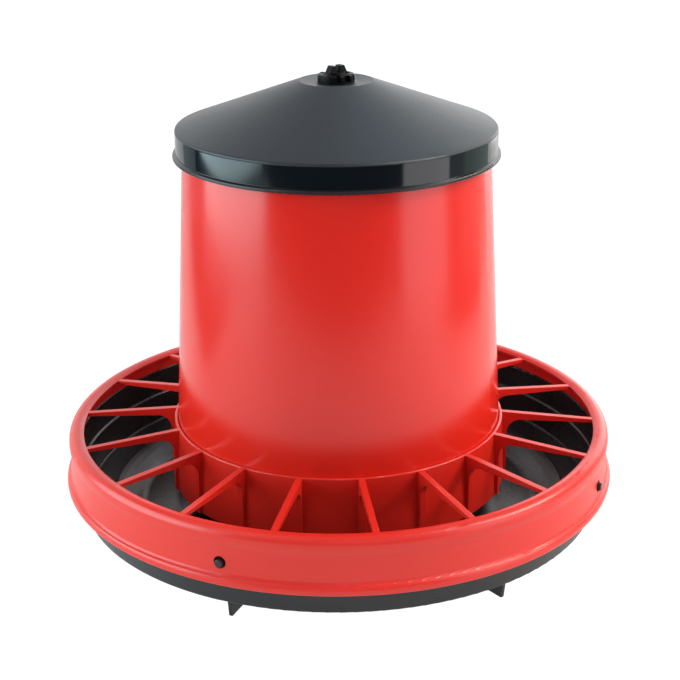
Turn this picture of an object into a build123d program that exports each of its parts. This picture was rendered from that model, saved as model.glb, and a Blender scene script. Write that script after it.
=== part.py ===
from build123d import *
from math import cos, sin, radians
import os

# Poultry feeder: a feed pan with an anti-waste ring, a tapered hopper, a conical lid
# and a tie rod with a wing nut.  Millimetres, +Z up.  Origin on the floor at the
# vertical axis.  The four snap pegs of the pan lie on the X and Y axes.

os.makedirs("parts", exist_ok=True)

# ---------------------------------------------------------------- driving sizes
# pan
foot_h = 15.0            # floor to the underside of the pan's ledge
foot_r_out = 190.0       # outer edge of the feet at the floor
foot_r_top = 192.2       # and where it meets the pan
foot_r_in = 160.0
foot_t = 2.6
foot_phase = -0.4
foot_n = 6
pan_edge_r = 197.6       # outer bottom corner
pan_rim_z = 61.0
pan_rim_r = 202.8        # rim, outside
pan_wall = 2.6
trough_z = 8.4           # trough floor, inside
cone_top_z = 62.0        # top of the centre boss
boss_r = 17.0
boss_t = 4.0
# snap pegs and their holes
peg_z = 50.0
peg_r = 2.9
peg_tip_r = 208.8
peg_hole_r = 4.4
# anti-waste ring
band_r_max = 210.0       # foot bead of the band: the object's largest radius
band_bottom_z = 34.3
band_bead_z = 40.0
band_in_r = 203.3        # inside, below the shoulder
band_seat_r = 200.9      # inside, above the shoulder that rests on the pan's rim
lip_in_r = 195.4
lip_in_z = 73.4
lip_top_r = 200.6
lip_top_z = 75.4
lip_out_r = 206.7
lip_out_z = 68.6
crease_r = 205.4
crease_z = 62.6
spoke_n = 18
spoke_t = 4.5
spoke_h = 6.2            # depth of a spoke at the collar
spoke_out_z = 70.7       # underside of a spoke at the lip
rib_r = 130.3
rib_fillet = 10.0
collar_top_z = 79.6
collar_bottom_z = 30.3
collar_t = 2.3
ledge_r = 121.8          # inward ledge that carries the hopper
ledge_t = 2.3
# hopper: radius falls evenly with height
hop_r0 = 127.8           # outer radius extrapolated to the floor
hop_slope = 0.054        # radius lost per millimetre of height
hop_wall = 2.2
hop_bottom_z = collar_bottom_z + ledge_t
hop_top_z = 299.0
hop_clear = 0.35
# lid
lid_r = 117.0
lid_edge_z = 302.2
lid_bottom_z = 281.9
lid_lip_r = 119.2
lid_lip_h = 2.4
lid_wall = 2.2
lid_flat_r = 27.0
lid_flat_z = 335.3
lid_dish_r = 15.6        # shallow dish that the wing nut sits in
lid_dish_z = 334.1
lid_hole_r = 4.8
seat_r_in = 107.6
seat_r_out = 112.6
# rod and its nuts
rod_r = 4.0
rod_bottom_z = 46.0
rod_top_z = 339.4
nut_af = 13.0
nut_h = 6.5
washer_r = 8.0
washer_h = 1.6
# wing nut
wing_base_r = 13.4
wing_base_h = 5.6
wing_hub_r = 6.6
wing_hub_h = 1.4         # the hub's top above the base
wing_top = 11.6
wing_t = 5.4
wing_gap = 1.5           # half the gap between the wings
wing_angle = 60.8        # direction of the wings about the axis
wing_bore_r = rod_r + 0.05
wing_bore_h = 5.8
notch_floor = 1.3        # left standing under a grip notch
grip_notches = ((90, 5.6, 9.6), (59.5, 2.6, 8.2), (120.5, 2.6, 8.2))   # angle from the wings, width, inner radius

def hop_r(z):
    return hop_r0 - hop_slope * z


# ---------------------------------------------------------------- pan
# Section turned about the axis: rim, wall, ledge, trough, centre cone, flat boss.
with BuildPart() as pan:
    with BuildSketch(Plane.XZ) as pan_sec:
        with BuildLine():
            Polyline(
                (pan_rim_r - pan_wall, pan_rim_z),
                (pan_rim_r, pan_rim_z),
                (pan_rim_r - 0.6, 40.0),
                (pan_edge_r, foot_h),
                (175.5, foot_h - 1.2),
                (165.0, foot_h - 4.2),
                (158.5, foot_h - 7.6),
                (154.0, trough_z - 3.0),
                (128.0, trough_z - 2.8),
                (116.0, trough_z - 0.2),
                (boss_r + 4.0, cone_top_z - boss_t),
                (rod_r + 0.2, cone_top_z - boss_t),
                (rod_r + 0.2, cone_top_z),
                (boss_r, cone_top_z),
                (114.0, trough_z + 3.8),
                (127.0, trough_z + 0.2),
                (152.5, trough_z - 0.2),
                (158.0, foot_h - 3.4),
                (165.0, foot_h),
                (170.5, foot_h + 1.9),
                (174.4, foot_h + 2.9),
                (176.0, foot_h + 2.4),
                (194.4, foot_h + 3.5),
                (198.3, 39.6),
                (pan_rim_r - pan_wall - 0.7, 41.0),
                close=True,
            )
        make_face()
        for r, z, f in ((pan_edge_r, foot_h, 1.2), (194.4, foot_h + 3.5, 2.6), (176.0, foot_h + 2.4, 0.8),
                        (174.4, foot_h + 2.9, 0.5), (170.5, foot_h + 1.9, 6.0), (165.0, foot_h, 6.0),
                        (158.0, foot_h - 3.4, 6.0), (152.5, trough_z - 0.2, 8.0), (127.0, trough_z + 0.2, 14.0),
                        (198.3, 39.6, 0.6), (pan_rim_r, pan_rim_z, 1.0), (pan_rim_r - pan_wall, pan_rim_z, 1.0)):
            fillet(pan_sec.vertices().sort_by_distance((r, z, 0))[0], f)
    revolve(axis=Axis.Z)
    # thin radial feet with a level lower edge
    foot_planes = [
        Plane(origin=(0, 0, 0),
              x_dir=(cos(radians(30 + foot_phase + 360 / foot_n * i)), sin(radians(30 + foot_phase + 360 / foot_n * i)), 0),
              z_dir=(sin(radians(30 + foot_phase + 360 / foot_n * i)), -cos(radians(30 + foot_phase + 360 / foot_n * i)), 0))
        for i in range(foot_n)
    ]
    with BuildSketch(*foot_planes):
        with BuildLine():
            Polyline((foot_r_in, 0), (foot_r_out, 0), (foot_r_top, foot_h + 0.8),
                     (174.0, foot_h + 0.6), (166.0, foot_h - 2.0),
                     (foot_r_in, foot_h - 5.2), close=True)
        make_face()
    extrude(amount=foot_t / 2, both=True)
    # four snap pegs standing out of the wall
    peg_planes = [
        Plane(origin=(200.9 * cos(radians(90 * i)), 200.9 * sin(radians(90 * i)), peg_z),
              x_dir=(0, 0, 1), z_dir=(cos(radians(90 * i)), sin(radians(90 * i)), 0))
        for i in range(4)
    ]
    with BuildSketch(*peg_planes):
        Circle(peg_r)
    extrude(amount=peg_tip_r - 200.9)
    fillet(pan.edges().filter_by(GeomType.CIRCLE).filter_by(lambda e: abs(e.radius - peg_r) < 0.01)
           .filter_by(lambda e: Vector(e.arc_center.X, e.arc_center.Y, 0).length > peg_tip_r - 1), 0.7)
pan.part.label = "pan"
export_step(pan.part, "parts/pan.step")

# ---------------------------------------------------------------- anti-waste ring
with BuildPart() as guard_ring:
    # outer band: rolled lip, shoulder on the pan's rim, foot bead
    with BuildSketch(Plane.XZ) as band_sec:
        with BuildLine():
            l1 = Polyline((lip_in_r + 0.4, lip_in_z - 2.4), (lip_in_r, lip_in_z))
            l2 = ThreePointArc((lip_in_r, lip_in_z), (lip_in_r + 1.9, lip_top_z - 0.7), (lip_top_r, lip_top_z))
            l3 = ThreePointArc((lip_top_r, lip_top_z), (lip_out_r - 1.5, lip_top_z - 2.2), (lip_out_r, lip_out_z))
            l4 = ThreePointArc((lip_out_r, lip_out_z), (lip_out_r - 0.15, lip_out_z - 3.4), (crease_r, crease_z))
            l5 = Polyline((crease_r, crease_z), (206.9, band_bead_z + 1.6), (209.1, band_bead_z + 0.3))
            l6 = ThreePointArc((209.1, band_bead_z + 0.3), (band_r_max, band_bottom_z + 3.2), (209.5, band_bottom_z + 0.5))
            l7 = Polyline((209.5, band_bottom_z + 0.5), (209.0, band_bottom_z), (band_in_r, band_bottom_z),
                          (band_in_r, pan_rim_z), (band_seat_r, pan_rim_z),
                          (band_seat_r, lip_in_z - 5.0), (band_seat_r - 1.8, lip_in_z - 2.6),
                          (lip_in_r + 0.4, lip_in_z - 2.4))
        make_face()
        for r, z, f in ((crease_r, crease_z, 9.0), (206.9, band_bead_z + 1.6, 3.0), (209.1, band_bead_z + 0.3, 0.8)):
            fillet(band_sec.vertices().sort_by_distance((r, z, 0))[0], f)
    revolve(axis=Axis.Z)
    # collar round the hopper's foot, with the ledge that carries the hopper
    with BuildSketch(Plane.XZ) as collar_sec:
        with BuildLine():
            Polyline(
                (hop_r(collar_top_z) + hop_clear, collar_top_z),
                (hop_r(collar_top_z) + hop_clear + collar_t, collar_top_z),
                (hop_r(collar_bottom_z) + hop_clear + collar_t - 0.4, collar_bottom_z),
                (ledge_r, collar_bottom_z),
                (ledge_r, collar_bottom_z + ledge_t),
                (hop_r(hop_bottom_z) + hop_clear, collar_bottom_z + ledge_t),
                close=True,
            )
        make_face()
        fillet(collar_sec.vertices().group_by(Axis.Y)[-1], 0.9)
    revolve(axis=Axis.Z)
    # spokes: level bars that turn down through a fillet into ribs on the collar
    spoke_planes = [
        Plane(origin=(0, 0, 0),
              x_dir=(cos(radians(360 / spoke_n * i)), sin(radians(360 / spoke_n * i)), 0),
              z_dir=(sin(radians(360 / spoke_n * i)), -cos(radians(360 / spoke_n * i)), 0))
        for i in range(spoke_n)
    ]
    with BuildSketch(*spoke_planes) as spoke_sec:
        with BuildLine():
            FilletPolyline(
                (202.6, spoke_out_z),
                (rib_r, collar_top_z - spoke_h - 0.6),
                (rib_r, collar_bottom_z),
                radius=rib_fillet,
            )
            Polyline(
                (rib_r, collar_bottom_z),
                (126.6, collar_bottom_z),
                (125.0, collar_top_z - 0.35),
                (lip_in_r + 1.2, lip_in_z + 0.1),
                (202.6, lip_in_z - 1.0),
                (202.6, spoke_out_z),
            )
        make_face()
    extrude(amount=spoke_t / 2, both=True)
    # round holes for the pan's snap pegs
    hole_planes = [
        Plane(origin=(190.0 * cos(radians(90 * i)), 190.0 * sin(radians(90 * i)), peg_z),
              x_dir=(0, 0, 1), z_dir=(cos(radians(90 * i)), sin(radians(90 * i)), 0))
        for i in range(4)
    ]
    with BuildSketch(*hole_planes):
        Circle(peg_hole_r)
    extrude(amount=25.0, mode=Mode.SUBTRACT)
guard_ring.part.label = "guard_ring"
export_step(guard_ring.part, "parts/guard_ring.step")

# ---------------------------------------------------------------- hopper
with BuildPart() as hopper:
    with BuildSketch(Plane.XZ) as hop_sec:
        with BuildLine():
            Polyline(
                (hop_r(hop_bottom_z) - hop_wall, hop_bottom_z),
                (hop_r(hop_bottom_z), hop_bottom_z),
                (hop_r(hop_top_z), hop_top_z),
                (hop_r(hop_top_z) - hop_wall, hop_top_z),
                close=True,
            )
        make_face()
        fillet(hop_sec.vertices().group_by(Axis.Y)[-1], 0.6)
    revolve(axis=Axis.Z)
hopper.part.label = "hopper"
export_step(hopper.part, "parts/hopper.step")

# ---------------------------------------------------------------- lid
with BuildPart() as lid:
    lid_run = (lid_r - lid_flat_r)
    lid_drop = (lid_flat_z - lid_edge_z)
    under = lid_wall * (1 + (lid_drop / lid_run) ** 2) ** 0.5     # vertical thickness of the cone
    with BuildSketch(Plane.XZ) as lid_sec:
        with BuildLine():
            Polyline(
                (lid_hole_r, lid_dish_z),
                (lid_dish_r, lid_dish_z),
                (lid_flat_r, lid_flat_z),
                (lid_r, lid_edge_z),
                (lid_r, lid_bottom_z + lid_lip_h + 0.7),
                (lid_lip_r, lid_bottom_z + lid_lip_h),
                (lid_lip_r, lid_bottom_z),
                (lid_r - lid_wall, lid_bottom_z),
                (lid_r - lid_wall, lid_edge_z - under + lid_wall * lid_drop / lid_run),
                (seat_r_out, lid_edge_z - under + (lid_r - seat_r_out) * lid_drop / lid_run),
                (seat_r_out, hop_top_z),
                (seat_r_in, hop_top_z),
                (seat_r_in, lid_edge_z - under + (lid_r - seat_r_in) * lid_drop / lid_run),
                (lid_flat_r - 0.4, lid_flat_z - lid_wall),
                (lid_dish_r, lid_dish_z - lid_wall),
                (lid_hole_r, lid_dish_z - lid_wall),
                close=True,
            )
        make_face()
        fillet(lid_sec.vertices().sort_by_distance((lid_r, lid_edge_z, 0))[0], 1.4)
        fillet(lid_sec.vertices().sort_by_distance((lid_lip_r, lid_bottom_z + lid_lip_h, 0))[0], 0.9)
        fillet(lid_sec.vertices().sort_by_distance((lid_lip_r, lid_bottom_z, 0))[0], 0.7)
    revolve(axis=Axis.Z)
lid.part.label = "lid"
export_step(lid.part, "parts/lid.step")

# ---------------------------------------------------------------- wing nut
with BuildPart() as wing_nut:
    with BuildSketch(Plane.XY.offset(lid_dish_z)):
        Circle(wing_base_r)
    extrude(amount=wing_base_h)
    fillet(wing_nut.edges().group_by(Axis.Z)[-1], 1.0)
    # round hub
    with BuildSketch(Plane.XY.offset(lid_dish_z + wing_base_h - 1.0)):
        Circle(wing_hub_r)
    extrude(amount=wing_hub_h + 1.0, taper=12)
    # two thick wings, each sloping down to the rim of the base
    wing_plane = Plane(origin=(0, 0, lid_dish_z),
                       x_dir=(cos(radians(wing_angle)), sin(radians(wing_angle)), 0),
                       z_dir=(sin(radians(wing_angle)), -cos(radians(wing_angle)), 0))
    with BuildSketch(wing_plane) as wing_sec:
        for side in (1, -1):
            with BuildLine():
                Polyline(
                    (side * wing_gap, wing_base_h - 1.5),
                    (side * wing_gap, wing_top - 0.2),
                    (side * 5.3, wing_top),
                    (side * 7.9, wing_base_h + 1.0),
                    (side * 11.6, wing_base_h - 0.3),
                    (side * 11.6, wing_base_h - 1.5),
                    close=True,
                )
            make_face()
    extrude(amount=wing_t / 2, both=True)
    fillet(wing_nut.edges().group_by(Axis.Z)[-1], 0.5)
    # grip notches in the base, alike on both sides
    for notch_angle, notch_width, notch_inner in grip_notches:
        notch_planes = [
            Plane(origin=(0, 0, lid_dish_z + notch_floor),
                  x_dir=(cos(radians(wing_angle + notch_angle + turn)), sin(radians(wing_angle + notch_angle + turn)), 0),
                  z_dir=(0, 0, 1))
            for turn in (0, 180)
        ]
        with BuildSketch(*notch_planes):
            with Locations(((notch_inner + 15.0) / 2, 0)):
                Rectangle(15.0 - notch_inner, notch_width)
        extrude(amount=wing_base_h + 1.0, mode=Mode.SUBTRACT)
    # blind bore for the rod
    with BuildSketch(Plane.XY.offset(lid_dish_z - 1.0)):
        Circle(wing_bore_r)
    extrude(amount=wing_bore_h + 1.0, mode=Mode.SUBTRACT)
wing_nut.part.label = "wing_nut"
export_step(wing_nut.part, "parts/wing_nut.step")

# ---------------------------------------------------------------- tie rod
with BuildPart() as tie_rod:
    with BuildSketch(Plane.XY.offset(rod_bottom_z)):
        Circle(rod_r)
    extrude(amount=rod_top_z - rod_bottom_z)
    chamfer(tie_rod.edges().filter_by(GeomType.CIRCLE), 0.8)
tie_rod.part.label = "tie_rod"
export_step(tie_rod.part, "parts/tie_rod.step")

# ---------------------------------------------------------------- washers and nuts
washer_z = (cone_top_z, cone_top_z - boss_t - washer_h)
nut_z = (cone_top_z + washer_h, cone_top_z - boss_t - washer_h - nut_h)

with BuildPart() as rod_washers:
    with BuildSketch(*[Plane.XY.offset(z) for z in washer_z]):
        Circle(washer_r)
        Circle(rod_r + 0.2, mode=Mode.SUBTRACT)
    extrude(amount=washer_h)
rod_washers.part.label = "rod_washers"
export_step(rod_washers.part, "parts/rod_washers.step")

with BuildPart() as rod_nuts:
    with BuildSketch(*[Plane.XY.offset(z) for z in nut_z]):
        RegularPolygon(nut_af / 2, 6, major_radius=False)
        Circle(rod_r, mode=Mode.SUBTRACT)
    extrude(amount=nut_h)
rod_nuts.part.label = "rod_nuts"
export_step(rod_nuts.part, "parts/rod_nuts.step")

for name, body in (("pan", pan), ("guard_ring", guard_ring), ("hopper", hopper), ("lid", lid),
                   ("wing_nut", wing_nut), ("tie_rod", tie_rod), ("rod_washers", rod_washers),
                   ("rod_nuts", rod_nuts)):
    bb = body.part.bounding_box()
    print(f"{name:12s} solids {len(body.part.solids())} volume {body.part.volume / 1000:.1f} cm3 "
          f"z {bb.min.Z:.1f}..{bb.max.Z:.1f} x {bb.min.X:.1f}..{bb.max.X:.1f}")
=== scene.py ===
import bpy, bmesh
from math import radians, degrees, sin, cos, pi, sqrt, atan2, asin
from mathutils import Matrix, Vector


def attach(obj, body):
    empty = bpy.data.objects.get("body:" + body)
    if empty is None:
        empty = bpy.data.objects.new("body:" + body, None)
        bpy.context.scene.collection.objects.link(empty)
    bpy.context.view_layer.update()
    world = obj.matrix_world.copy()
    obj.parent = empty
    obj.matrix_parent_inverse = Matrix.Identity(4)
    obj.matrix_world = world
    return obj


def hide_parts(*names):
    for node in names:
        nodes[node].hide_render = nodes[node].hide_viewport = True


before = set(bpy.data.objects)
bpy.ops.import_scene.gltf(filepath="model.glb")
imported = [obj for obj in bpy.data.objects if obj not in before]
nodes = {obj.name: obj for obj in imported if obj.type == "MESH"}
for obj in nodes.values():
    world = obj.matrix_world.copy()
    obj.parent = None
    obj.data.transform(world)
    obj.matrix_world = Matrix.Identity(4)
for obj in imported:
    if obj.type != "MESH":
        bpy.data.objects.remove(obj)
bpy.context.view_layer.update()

scene = bpy.context.scene
scene.view_settings.view_transform = "Standard"
scene.view_settings.look = "None"
scene.view_settings.exposure = 0.0
scene.view_settings.gamma = 1.0

# ------------------------------------------------------------------ camera
# The camera looks along +Y in its own frame, turned by TURN about the feeder's axis.
TURN = radians(22.8)


def turned(x, y, z=0.0):
    return Vector((x * cos(TURN) - y * sin(TURN), x * sin(TURN) + y * cos(TURN), z))


yaw, pitch, roll = radians(0.081), radians(20.667), radians(-0.374)
right = Vector((cos(yaw), -sin(yaw), 0))
fwd = Vector((sin(yaw) * cos(pitch), cos(yaw) * cos(pitch), -sin(pitch)))
up = right.cross(fwd)
cam_x = cos(roll) * right + sin(roll) * up
cam_y = -sin(roll) * right + cos(roll) * up
cam_x, cam_y, fwd = (turned(*v) for v in (cam_x, cam_y, fwd))
cam_data = bpy.data.cameras.new("camera")
cam_data.sensor_width = 36.0
cam_data.lens = 81.07
cam_data.clip_start = 0.05
cam_data.clip_end = 60.0
camera = bpy.data.objects.new("camera", cam_data)
scene.collection.objects.link(camera)
m = Matrix((cam_x, cam_y, -fwd)).transposed().to_4x4()
m.translation = turned(0, -1.0922, 0.54795)
camera.matrix_world = m
scene.camera = camera


# ------------------------------------------------------------------ material helpers
def new_material(name):
    mat = bpy.data.materials.new(name)
    mat.use_nodes = True
    nt = mat.node_tree
    bsdf = nt.nodes["Principled BSDF"]
    return mat, nt, bsdf


def node(nt, kind, **values):
    n = nt.nodes.new(kind)
    for key, val in values.items():
        if key in n.inputs:
            n.inputs[key].default_value = val
        else:
            setattr(n, key, val)
    return n


def noise(nt, coord, scale, detail=3.0, rough=0.5, stretch=None):
    src = coord
    if stretch:
        mp = node(nt, "ShaderNodeMapping")
        mp.inputs["Scale"].default_value = stretch
        nt.links.new(coord, mp.inputs["Vector"])
        src = mp.outputs["Vector"]
    n = node(nt, "ShaderNodeTexNoise", Scale=scale, Detail=detail, Roughness=rough)
    nt.links.new(src, n.inputs["Vector"])
    return n.outputs["Fac"]


def ramp(nt, fac, lo, hi, a, b, smooth=True):
    n = node(nt, "ShaderNodeMapRange")
    n.interpolation_type = "SMOOTHSTEP" if smooth else "LINEAR"
    n.inputs["From Min"].default_value = lo
    n.inputs["From Max"].default_value = hi
    n.inputs["To Min"].default_value = a
    n.inputs["To Max"].default_value = b
    nt.links.new(fac, n.inputs["Value"])
    return n.outputs["Result"]


def math(nt, op, a, b=None):
    n = node(nt, "ShaderNodeMath", operation=op)
    for i, v in enumerate((a, b)):
        if v is None:
            continue
        if isinstance(v, (int, float)):
            n.inputs[i].default_value = v
        else:
            nt.links.new(v, n.inputs[i])
    return n.outputs[0]


def mixed(nt, fac, a, b):
    n = node(nt, "ShaderNodeMix", data_type="RGBA")
    for sock, v in ((n.inputs[0], fac), (n.inputs[6], a), (n.inputs[7], b)):
        if isinstance(v, (int, float)):
            sock.default_value = v
        elif isinstance(v, tuple):
            sock.default_value = v if len(v) == 4 else (*v, 1.0)
        else:
            nt.links.new(v, sock)
    return n.outputs[2]


def bumped(nt, bsdf, height, distance, strength=1.0, edge=0.0):
    b = node(nt, "ShaderNodeBump", Strength=strength, Distance=distance)
    nt.links.new(height, b.inputs["Height"])
    if edge:
        e = node(nt, "ShaderNodeBevel", Radius=edge)
        e.samples = 6
        nt.links.new(e.outputs["Normal"], b.inputs["Normal"])
    nt.links.new(b.outputs["Normal"], bsdf.inputs["Normal"])
    return b


def object_coord(nt):
    return node(nt, "ShaderNodeTexCoord").outputs["Object"]


def height_of(nt, coord):
    s = node(nt, "ShaderNodeSeparateXYZ")
    nt.links.new(coord, s.inputs[0])
    return s.outputs


# ------------------------------------------------------------------ materials
def red_plastic(name, rough_lo, rough_hi, base, deep, grain, wave, edge=0.0):
    mat, nt, bsdf = new_material(name)
    co = object_coord(nt)
    cloud = noise(nt, co, 9.0, 4.0, 0.55)
    fine = noise(nt, co, 900.0, 2.0, 0.5)
    peel = noise(nt, co, 160.0, 2.0, 0.5)
    col = mixed(nt, ramp(nt, cloud, 0.35, 0.68, 0.0, 1.0), base, deep)
    nt.links.new(col, bsdf.inputs["Base Color"])
    r = math(nt, "ADD", ramp(nt, cloud, 0.3, 0.7, rough_lo, rough_hi), ramp(nt, fine, 0.3, 0.7, -0.003, 0.003))
    nt.links.new(r, bsdf.inputs["Roughness"])
    # moulding skin: fine orange peel on very shallow, wide waves (heights in metres)
    sink = noise(nt, co, 13.0, 1.0, 0.4, (1.0, 1.0, 0.6))
    h = math(nt, "ADD", math(nt, "MULTIPLY", peel, grain), math(nt, "MULTIPLY", fine, 0.05 * grain))
    h = math(nt, "ADD", h, math(nt, "MULTIPLY", sink, wave))
    bumped(nt, bsdf, h, 1.0, 1.0, edge)
    bsdf.inputs["IOR"].default_value = 1.5
    return mat


red_ring = red_plastic("red_plastic_ring", 0.30, 0.34, (0.665, 0.0190, 0.0096), (0.64, 0.0175, 0.0088), 0.000004, 0.0002, 0.0005)
red_hopper = red_plastic("red_plastic_hopper", 0.185, 0.225, (0.70, 0.0190, 0.0096), (0.68, 0.0180, 0.0090), 0.000005, 0.0003)


def black_plastic(name, base, other, rough_lo, rough_hi, grain, grain_scale, edge=0.0, inside=None):
    mat, nt, bsdf = new_material(name)
    co = object_coord(nt)
    cloud = noise(nt, co, 14.0, 4.0, 0.6)
    fine = noise(nt, co, grain_scale, 3.0, 0.6)
    col = mixed(nt, ramp(nt, cloud, 0.35, 0.68, 0.0, 1.0), base, other)
    nt.links.new(col, bsdf.inputs["Base Color"])
    r = math(nt, "ADD", ramp(nt, cloud, 0.3, 0.7, rough_lo, rough_hi), ramp(nt, fine, 0.3, 0.7, -0.02, 0.02))
    height = fine
    if inside:
        # polished inside, finely etched outside: told apart by the distance from the axis. The outside also takes a
        # lighter grey base colour than the inside, which is painted light: a lit copy of the same black plastic
        x, y, z = height_of(nt, co)
        radius = math(nt, "SQRT", math(nt, "ADD", math(nt, "MULTIPLY", x, x), math(nt, "MULTIPLY", y, y)))
        wall = math(nt, "ADD", inside[0], math(nt, "MULTIPLY", z, inside[1]))
        outer = ramp(nt, math(nt, "SUBTRACT", radius, wall), -0.0003, 0.0003, 0.0, 1.0)
        under = ramp(nt, z, 0.0145, 0.0165, 1.0, 0.0)
        outer = math(nt, "MAXIMUM", outer, math(nt, "MULTIPLY", under, ramp(nt, radius, 0.172, 0.176, 0.0, 1.0)))
        r = math(nt, "SUBTRACT", r, math(nt, "MULTIPLY", math(nt, "SUBTRACT", 1.0, outer), inside[2]))
        height = math(nt, "MULTIPLY", fine, math(nt, "ADD", 0.15, math(nt, "MULTIPLY", outer, 0.85)))
        # painted light: the outer wall and the underside get a lighter grey than the inside, standing in for the
        # brighter light they receive
        nt.links.new(mixed(nt, outer, col, (0.0150, 0.0160, 0.0175)), bsdf.inputs["Base Color"])
    nt.links.new(r, bsdf.inputs["Roughness"])
    bumped(nt, bsdf, height, grain, 1.0, edge)
    bsdf.inputs["IOR"].default_value = 1.5
    return mat


black_pan = black_plastic("black_plastic_pan", (0.0075, 0.0085, 0.0095), (0.0095, 0.0105, 0.012), 0.27, 0.33, 0.00003, 700.0, 0.0004,
                          (0.19335, 0.15, 0.02))
black_pan.node_tree.nodes["Principled BSDF"].inputs["Specular IOR Level"].default_value = 0.40
black_nut = black_plastic("black_plastic_nut", (0.0012, 0.0018, 0.0024), (0.0018, 0.0026, 0.0034), 0.34, 0.44, 0.00004, 900.0, 0.0003)
black_nut.node_tree.nodes["Principled BSDF"].inputs["Specular IOR Level"].default_value = 0.13


def lid_plastic():
    mat, nt, bsdf = new_material("black_plastic_lid")
    co = object_coord(nt)
    z = height_of(nt, co)[2]
    cloud = noise(nt, co, 12.0, 4.0, 0.6)
    fine = noise(nt, co, 1100.0, 2.0, 0.6)
    top = ramp(nt, z, 0.3003, 0.3012, 0.0, 1.0)
    skirt_col = (0.004, 0.0046, 0.0054)
    cone_col = mixed(nt, ramp(nt, cloud, 0.35, 0.68, 0.0, 1.0), (0.0075, 0.0145, 0.0195), (0.0095, 0.0165, 0.0215))
    nt.links.new(mixed(nt, top, skirt_col, cone_col), bsdf.inputs["Base Color"])
    skirt_r = math(nt, "ADD", ramp(nt, cloud, 0.3, 0.7, 0.07, 0.11), ramp(nt, z, 0.2846, 0.2856, 0.24, 0.0))
    cone_r = math(nt, "ADD", ramp(nt, cloud, 0.3, 0.7, 0.40, 0.45), ramp(nt, fine, 0.3, 0.7, -0.03, 0.03))
    n = node(nt, "ShaderNodeMix", data_type="FLOAT")
    nt.links.new(top, n.inputs[0]); nt.links.new(skirt_r, n.inputs[2]); nt.links.new(cone_r, n.inputs[3])
    nt.links.new(n.outputs[0], bsdf.inputs["Roughness"])
    h = math(nt, "MULTIPLY", fine, top)
    bumped(nt, bsdf, h, 0.00009, 1.0, 0.0003)
    bsdf.inputs["IOR"].default_value = 1.5
    return mat


black_lid = lid_plastic()


def zinc():
    mat, nt, bsdf = new_material("zinc_plated_steel")
    co = object_coord(nt)
    cloud = noise(nt, co, 60.0, 4.0, 0.6)
    fine = noise(nt, co, 1500.0, 2.0, 0.6)
    nt.links.new(mixed(nt, cloud, (0.60, 0.61, 0.62), (0.48, 0.48, 0.47)), bsdf.inputs["Base Color"])
    nt.links.new(ramp(nt, cloud, 0.3, 0.7, 0.28, 0.42), bsdf.inputs["Roughness"])
    bumped(nt, bsdf, fine, 0.00003, 1.0, 0.0003)
    bsdf.inputs["Metallic"].default_value = 1.0
    return mat


steel = zinc()

for name, mat in (("pan", black_pan), ("guard_ring", red_ring), ("hopper", red_hopper), ("lid", black_lid),
                  ("wing_nut", black_nut), ("tie_rod", steel), ("rod_washers", steel), ("rod_nuts", steel)):
    for ms in nodes[name].material_slots:
        ms.material = mat



# ------------------------------------------------------------------ threaded tie rod
def threaded_rod(z0, z1, radius, pitch, threaded, segments=40):
    """Rod with a right-hand rolled thread on both ends, a plain shank between and pointed tips."""
    depth = 0.00070
    point = 0.0008

    def thread_radius(z, turn, lo, hi):
        t = (z / pitch - turn) % 1.0
        crest = min(max((abs(2 * t - 1) - 0.08) / 0.80, 0.0), 1.0)
        fade = max(0.0, min(1.0, (z - lo) / 0.0016 + 0.4, (hi - z) / 0.0016))
        return radius - 0.00002 - depth * (1 - crest) * fade

    verts, faces = [], []

    def ring(z, fn):
        start = len(verts)
        for k in range(segments):
            a = 2 * pi * k / segments
            r = fn(k / segments)
            verts.append((r * cos(a), r * sin(a), z))
        if start:
            for k in range(segments):
                j = (k + 1) % segments
                faces.append((start - segments + k, start - segments + j, start + j, start + k))

    ring(z0, lambda u: radius - point - 0.0002)
    for lo, hi, ends in ((z0 + point, z0 + threaded, 1), (z1 - threaded, z1 - point, -1)):
        count = int(round((hi - lo) / pitch * 8))
        for i in range(count + 1):
            z = lo + (hi - lo) * i / count
            if ends > 0:
                ring(z, lambda u: thread_radius(z, u, lo, hi))
            else:
                ring(z, lambda u: thread_radius(lo + hi - z, 1 - u, lo, hi))
    ring(z1, lambda u: radius - point - 0.0002)
    faces.append(tuple(reversed(range(segments))))
    faces.append(tuple(range(len(verts) - segments, len(verts))))
    mesh = bpy.data.meshes.new("tie_rod_threaded")
    mesh.from_pydata(verts, [], faces)
    mesh.update()
    for p in mesh.polygons:
        p.use_smooth = len(p.vertices) == 4
    o = bpy.data.objects.new("tie_rod_threaded", mesh)
    scene.collection.objects.link(o)
    o.data.materials.append(steel)
    return o


rod = threaded_rod(0.046, 0.3394, 0.004, 0.00125, 0.032)
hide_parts("tie_rod")
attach(rod, "feeder")

# ------------------------------------------------------------------ studio
def emitter(name, colour, strength, diffuse=None):
    mat, nt, bsdf = new_material(name)
    co = object_coord(nt)
    soft = noise(nt, co, 0.8, 2.0, 0.5)
    nt.links.new(mixed(nt, soft, tuple(0.985 * c for c in colour), colour), bsdf.inputs["Emission Color"])
    bsdf.inputs["Emission Strength"].default_value = strength
    d = diffuse if diffuse is not None else 0.0
    bsdf.inputs["Base Color"].default_value = (d, d, d, 1)
    bsdf.inputs["Roughness"].default_value = 1.0
    bsdf.inputs["Specular IOR Level"].default_value = 0.0
    return mat


def polygon(name, pts, z, mat):
    mesh = bpy.data.meshes.new(name)
    mesh.from_pydata([turned(x, y, z) for x, y in pts], [], [list(range(len(pts)))])
    o = bpy.data.objects.new(name, mesh)
    scene.collection.objects.link(o)
    o.data.materials.append(mat)
    return o


# pale floor, seen by the camera
floor = polygon("floor", [(-14, -14), (14, -14), (14, 14), (-14, 14)], -0.0004, emitter("floor_white", (1.0, 1.0, 1.0), 0.965, 0.18))
floor.visible_diffuse = floor.visible_glossy = floor.visible_shadow = floor.visible_transmission = False
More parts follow.
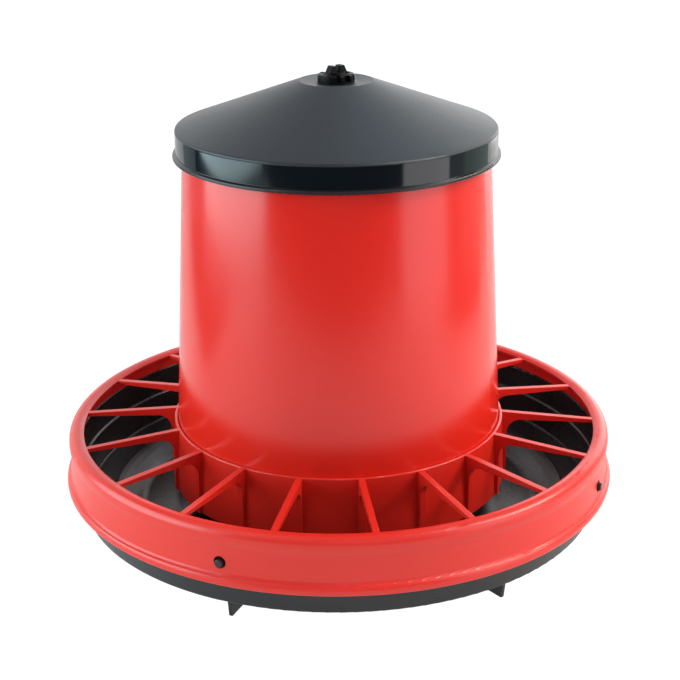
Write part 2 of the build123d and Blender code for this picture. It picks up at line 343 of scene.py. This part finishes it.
# pale table top that the feeder stands on: what the feeder's faces are lit by and mirror
table = polygon("table", [(-0.884, -0.805), (0.64, -0.805), (0.66, -0.70), (0.77, -0.513), (0.69, -0.073), (0.63, 0.26),
                          (1.0, 0.9), (1.4, 2.6), (-1.4, 2.6), (-0.95, 0.9), (-0.62, 0.30), (-0.515, 0.07), (-0.884, -0.271)],
                -0.0002, emitter("table_white", (0.95, 1.0, 0.94), 0.38, 0.6))
tnt = table.data.materials[0].node_tree
tx, ty, tz = height_of(tnt, object_coord(tnt))
away = math(tnt, "SUBTRACT", math(tnt, "MULTIPLY", ty, cos(TURN)), math(tnt, "MULTIPLY", tx, sin(TURN)))
tnt.links.new(ramp(tnt, away, 0.05, 0.40, 0.38, 0.12), tnt.nodes["Principled BSDF"].inputs["Emission Strength"])
table.visible_camera = table.visible_shadow = False
# pale backdrop behind, a little brighter on the right
for side, x0, x1, strength in (("left", -3.2, 0.0, 0.95), ("right", 0.0, 3.2, 1.65)):
    back = bpy.data.meshes.new("backdrop_" + side)
    back.from_pydata([turned(x0, 2.6, -0.0002), turned(x1, 2.6, -0.0002), turned(x1, 2.6, 2.6), turned(x0, 2.6, 2.6)], [], [[0, 1, 2, 3]])
    backdrop = bpy.data.objects.new("backdrop_" + side, back)
    scene.collection.objects.link(backdrop)
    back.materials.append(emitter("backdrop_white_" + side, (1.0, 1.0, 1.0), strength, 0.3))
    backdrop.visible_camera = backdrop.visible_shadow = False


def softbox(name, azimuth, distance, width, z_lo, z_hi, radiance, colour=(1, 1, 1), aim_z=None):
    """A vertical panel at that azimuth (0 at the camera's side, positive to its right), facing the feeder."""
    data = bpy.data.lights.new(name, "AREA")
    data.shape = "RECTANGLE"
    data.size = width
    data.size_y = z_hi - z_lo
    data.energy = radiance * pi * width * (z_hi - z_lo)
    data.color = colour
    o = bpy.data.objects.new(name, data)
    scene.collection.objects.link(o)
    a = radians(azimuth)
    pos = turned(distance * sin(a), -distance * cos(a), (z_lo + z_hi) / 2)
    target = Vector((0, 0, (z_lo + z_hi) / 2 if aim_z is None else aim_z))
    o.location = pos
    o.rotation_euler = (pos - target).to_track_quat("Z", "Y").to_euler()
    o.visible_camera = False
    return o


softbox("softbox_left", -79, 1.30, 1.42, -0.035, 1.0, 4.75, (0.78, 1.03, 1.08))
softbox("rear_left", -128, 1.30, 0.70, -0.06, 1.0, 0.40, (0.9, 1.0, 1.0))
softbox("rear_right", 142, 1.30, 0.60, -0.10, 0.90, 1.6, (1.0, 1.0, 1.0))
softbox("rear_left_far", -156, 1.30, 0.60, -0.06, 1.0, 0.16, (1.0, 1.0, 1.0))
softbox("softbox_right", 63, 1.30, 0.86, -0.12, 1.0, 2.22, (1.00, 0.98, 1.03))
softbox("edge_mid", 88, 1.30, 0.36, -0.12, 0.88, 0.34, (0.85, 0.92, 0.95))
softbox("edge_right", 112, 1.30, 0.74, -0.12, 0.90, 0.55, (0.8, 1.0, 0.85))
softbox("key_right", 90, 1.5, 0.45, 0.92, 1.37, 25.5, (1.04, 1.0, 0.82), aim_z=0.15)
softbox("key_high", 75, 1.2, 0.50, 1.30, 1.80, 9.8, (0.9, 1.0, 0.95), aim_z=0.15)
softbox("fill_left", -60, 0.9, 0.90, 1.20, 2.10, 0.85, (0.9, 1.0, 1.05), aim_z=0.1)
softbox("fill_back", 150, 0.9, 0.90, 1.20, 2.10, 0.40, (0.4, 1.0, 1.3), aim_z=0.1)
softbox("fill_front", 10, 2.2, 1.00, 1.20, 2.20, 0.75, (1.0, 0.8, 1.25), aim_z=0.2)
softbox("fill_low", 0, 2.2, 2.00, 0.0, 0.50, 0.9, (0.95, 0.35, 0.35), aim_z=0.2)

world = bpy.data.worlds.new("studio")
scene.world = world
world.use_nodes = True
wnt = world.node_tree
bg = wnt.nodes["Background"]
wco = node(wnt, "ShaderNodeTexCoord").outputs["Generated"]
wz = height_of(wnt, wco)[2]
wcol = mixed(wnt, ramp(wnt, wz, -0.1, 0.6, 0.0, 1.0), (0.02, 0.06, 0.10), (0.44, 0.37, 0.40))
wnt.links.new(wcol, bg.inputs["Color"])
bg.inputs["Strength"].default_value = 1.0
